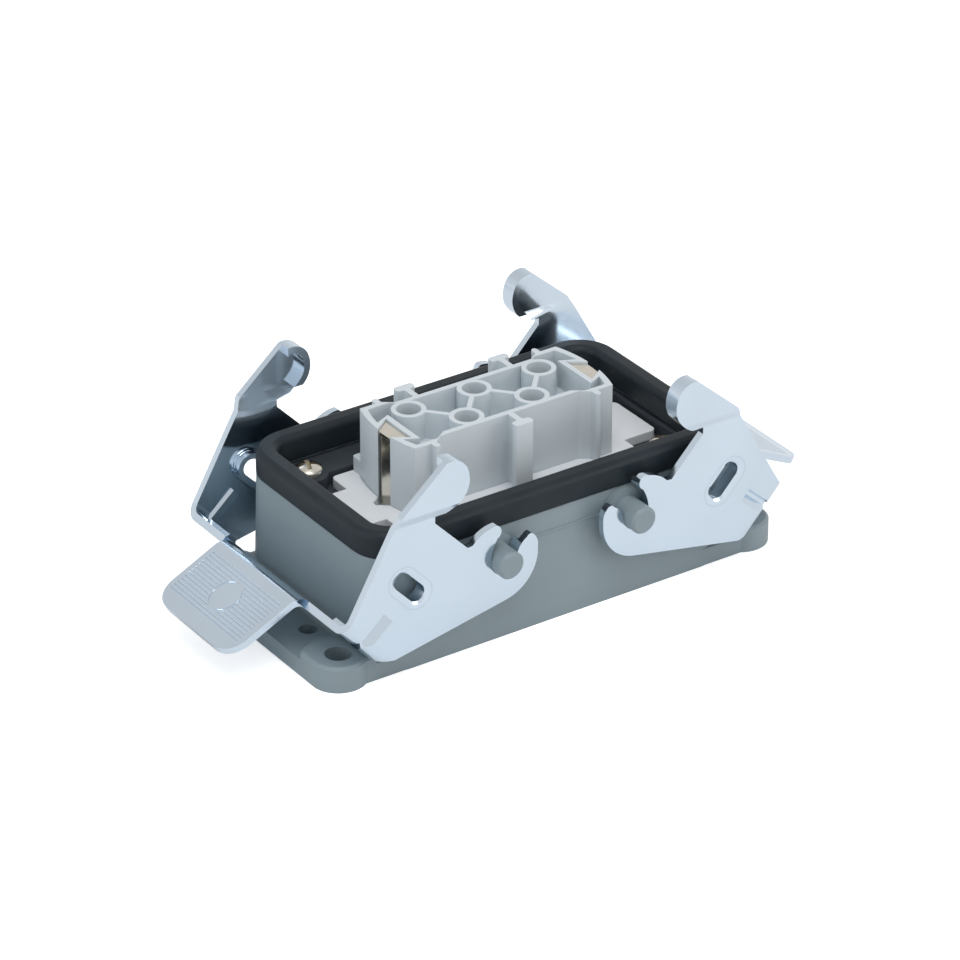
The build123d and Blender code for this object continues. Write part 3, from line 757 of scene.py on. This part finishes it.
class CONNECTOR_OT_fasteners(bpy.types.Operator):
    """Make the screws and the contact sockets, and finish the clips"""

    bl_idname = "connector.fasteners"
    bl_label = "Fasteners"

    def execute(self, context):
        look = context.scene.connector_fastener
        nickel = plain_metal("nickel_plate", look.nickel, 0.20)
        silver = plain_metal("silver_plate", look.silver, 0.26)
        for side in ("left", "right"):
            softened_copy("earth_clip_" + side, CLIP_EDGE, nickel, "base")
        self.screws("fixing_screws", FIXING_SCREWS, look, nickel)
        self.screws("earth_screws", EARTH_SCREWS, look, nickel)
        self.sockets(look, silver)
        return {"FINISHED"}

    def screws(self, name, row, look, material):
        """A set of cross-recessed screws, each turned at random."""
        rim, top, shank = look.head, row["head"], row["shank"]
        profile = [(0.0, top)]
        profile += [(rim * share, top * (1 - HEAD_DROP * share**HEAD_CURVE)) for share in HEAD_STEPS]
        profile += [(rim, top * HEAD_SIDE), (rim, HEAD_CHAMFER), (rim * HEAD_FOOT, 0.0)]
        profile += [(SCREW_SHANK, 0.0), (SCREW_SHANK, -shank), (0.0, -shank)]
        sizes = {
            "Spacing X": row["spacing"][0],
            "Spacing Y": row["spacing"][1],
            "Rows": row["rows"],
            "Height": row["height"],
            "Tip over": row["tip"],
            "Recess span": look.span,
            "Recess width": look.slot,
            "Recess depth": look.bite,
            "Head height": top,
            "Seed": SCREW_SEED,
        }
        tree, given = new_tree(name, sizes)
        cross = joined(
            tree,
            block(tree, given["Recess span"], given["Recess width"], given["Recess depth"]),
            block(tree, given["Recess width"], given["Recess span"], given["Recess depth"]),
        )
        sunk = moved(tree, cross, vector_of(tree, 0.0, 0.0, given["Head height"]))
        screw = carved(tree, given["Geometry"], sunk, crossing=True)
        grid = add_node(
            tree,
            "GeometryNodeMeshGrid",
            Size_X=given["Spacing X"],
            Size_Y=given["Spacing Y"],
            Vertices_X=2,
            Vertices_Y=given["Rows"],
        )
        spin = add_node(tree, "FunctionNodeRandomValue", Max=math.tau, Seed=given["Seed"])
        turn = vector_of(tree, given["Tip over"], 0.0, spin.outputs[1])
        set_out = add_node(
            tree,
            "GeometryNodeInstanceOnPoints",
            Points=grid.outputs["Mesh"],
            Instance=screw,
            Rotation=turn,
        )
        lifted = moved(tree, set_out.outputs[0], vector_of(tree, 0.0, 0.0, given["Height"]))
        end_tree(tree, lifted, material)
        piece = new_piece(name, turned_mesh(name, profile))
        run_tree(piece, tree, sizes)
        self.hand_over(piece, row["nodes"], "plated_screws")

    def sockets(self, look, material):
        """Five turned contacts with slit, chamfered sockets."""
        profile = [(radius * MM, height * MM) for radius, height in CONTACT_OUTLINE]
        sizes = {
            "Pitch": CONTACT_PITCH,
            "Row distance": ROW_DISTANCE,
            "Slit width": look.slit,
            "Slit length": SLIT_LENGTH,
            "Top": CONTACT_TOP,
        }
        tree, given = new_tree("contact_sockets", sizes)
        slits = joined(
            tree,
            block(tree, given["Slit width"], SLIT_REACH, given["Slit length"]),
            block(tree, SLIT_REACH, given["Slit width"], given["Slit length"]),
        )
        lowered = moved(tree, slits, vector_of(tree, 0.0, 0.0, given["Top"]))
        socket = carved(tree, given["Geometry"], lowered, crossing=True)
        rows = []
        for count, across, start in CONTACT_ROWS:
            first = number(tree, "MULTIPLY", given["Pitch"], start)
            aside = number(tree, "MULTIPLY", given["Row distance"], across)
            row = row_of(tree, count, given["Pitch"])
            rows.append(moved(tree, row, vector_of(tree, first, aside)))
        set_out = add_node(
            tree, "GeometryNodeInstanceOnPoints", Points=joined(tree, *rows), Instance=socket
        )
        end_tree(tree, set_out.outputs[0], material)
        piece = new_piece("contact_sockets", turned_mesh("contact_sockets", profile))
        run_tree(piece, tree, sizes)
        self.hand_over(piece, [f"contact_{i}" for i in range(1, 6)], "silvered_brass")

    def hand_over(self, piece, nodes, slot):
        """Let a finished piece stand for its CAD nodes."""
        shade(piece)
        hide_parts(*nodes)
        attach(piece, "base")


def turned_to(target, place):
    """The turn of a lamp or camera that looks from a place at a target."""
    return (Vector(target) - Vector(place)).to_track_quat("-Z", "Y").to_euler()


def lamp(name, place, target, size, colour, strength):
    """A square area lamp that looks at a point."""
    data = bpy.data.lights.new(name, "AREA")
    data.size = size
    data.energy = strength
    data.color = colour
    light = new_piece(name, data)
    light.location = place
    light.rotation_euler = turned_to(target, place)


class CONNECTOR_OT_stage(bpy.types.Operator):
    """Set the floor, the lamps, the world and the camera"""

    bl_idname = "connector.stage"
    bl_label = "Stage"

    def execute(self, context):
        look = context.scene.connector_stage
        scene = context.scene
        scene.view_settings.view_transform = "Standard"
        mesh = bpy.data.meshes.new("floor")
        signs = ((-1, -1), (1, -1), (1, 1), (-1, 1))
        corners = [(x * FLOOR_HALF, y * FLOOR_HALF, 0) for x, y in signs]
        mesh.from_pydata(corners, [], [(0, 1, 2, 3)])
        floor = new_piece("floor", mesh)
        mesh.materials.append(self.floor_paint(look))
        self.light_world(scene, look)
        for values, strength in zip(LAMPS, (look.key, look.fill, look.side)):
            lamp(*values, strength)
        data = bpy.data.cameras.new("photo_camera")
        data.lens = look.lens
        data.sensor_width = SENSOR_WIDTH
        data.clip_start = 0.05
        camera = new_piece("photo_camera", data)
        camera.location = CAMERA_PLACE
        camera.rotation_euler = turned_to(CAMERA_AIM, CAMERA_PLACE)
        scene.camera = camera
        return {"FINISHED"}

    def floor_paint(self, look):
        """Pale floor that the camera sees as white, with the object's soft shadow."""
        material, tree, shader = blank_material("floor_paint", Roughness=0.9, Specular_IOR_Level=0.1)
        feed(tree, shader, Base_Color=(*look.floor, 1))
        out = next(n for n in tree.nodes if n.type == "OUTPUT_MATERIAL")
        seen = tree.nodes.new("ShaderNodeLightPath").outputs["Is Camera Ray"]
        glow = add_node(tree, "ShaderNodeEmission", Strength=spread(tree, seen, 0, 1, 0, look.glow))
        both = tree.nodes.new("ShaderNodeAddShader")
        tree.links.new(shader.outputs[0], both.inputs[0])
        tree.links.new(glow.outputs[0], both.inputs[1])
        tree.links.new(both.outputs[0], out.inputs["Surface"])
        return material

    def light_world(self, scene, look):
        """White to the camera, a room that darkens overhead in reflections, and an even light."""
        world = bpy.data.worlds.new("studio")
        scene.world = world
        world.use_nodes = True
        tree = world.node_tree
        background = next(n for n in tree.nodes if n.type == "BACKGROUND")
        path = tree.nodes.new("ShaderNodeLightPath").outputs
        where = tree.nodes.new("ShaderNodeTexCoord").outputs["Generated"]
        height = add_node(tree, "ShaderNodeSeparateXYZ", Vector=where).outputs["Z"]
        room = spread(tree, height, 0, 1, look.horizon, look.zenith)
        in_gloss = chosen(tree, path["Is Glossy Ray"], look.world, room)
        strength = chosen(tree, path["Is Camera Ray"], in_gloss, 1.0)
        feed(tree, background, Strength=strength, Color=(1, 1, 1, 1))


class CONNECTOR_PT_panel(bpy.types.Panel):
    """Lists the connector's pieces"""

    bl_idname = "CONNECTOR_PT_panel"
    bl_label = "Connector"
    bl_space_type = "VIEW_3D"
    bl_region_type = "UI"
    bl_category = "Connector"

    def draw(self, context):
        for group, operator in PARTS:
            box = self.layout.box()
            for name in group.__annotations__:
                box.prop(getattr(context.scene, GROUPS[group]), name)
            box.operator(operator.bl_idname)


GROUPS = {
    CastingLook: "connector_casting",
    RubberLook: "connector_rubber",
    MouldingLook: "connector_moulding",
    LeverLook: "connector_lever",
    FastenerLook: "connector_fastener",
    StageLook: "connector_stage",
}
PARTS = (
    (StageLook, CONNECTOR_OT_stage),
    (CastingLook, CONNECTOR_OT_housing),
    (RubberLook, CONNECTOR_OT_gaskets),
    (MouldingLook, CONNECTOR_OT_insert),
    (LeverLook, CONNECTOR_OT_levers),
    (FastenerLook, CONNECTOR_OT_fasteners),
)
CLASSES = (*GROUPS, *(operator for group, operator in PARTS), CONNECTOR_PT_panel)


def register():
    for item in CLASSES:
        bpy.utils.register_class(item)
    for group, name in GROUPS.items():
        setattr(bpy.types.Scene, name, PointerProperty(type=group))


def unregister():
    for name in GROUPS.values():
        delattr(bpy.types.Scene, name)
    for item in reversed(CLASSES):
        bpy.utils.unregister_class(item)


def main():
    """Build every piece in order."""
    register()
    for group, operator in PARTS:
        area, name = operator.bl_idname.split(".")
        getattr(getattr(bpy.ops, area), name)()


if __name__ == "__main__":
    main()
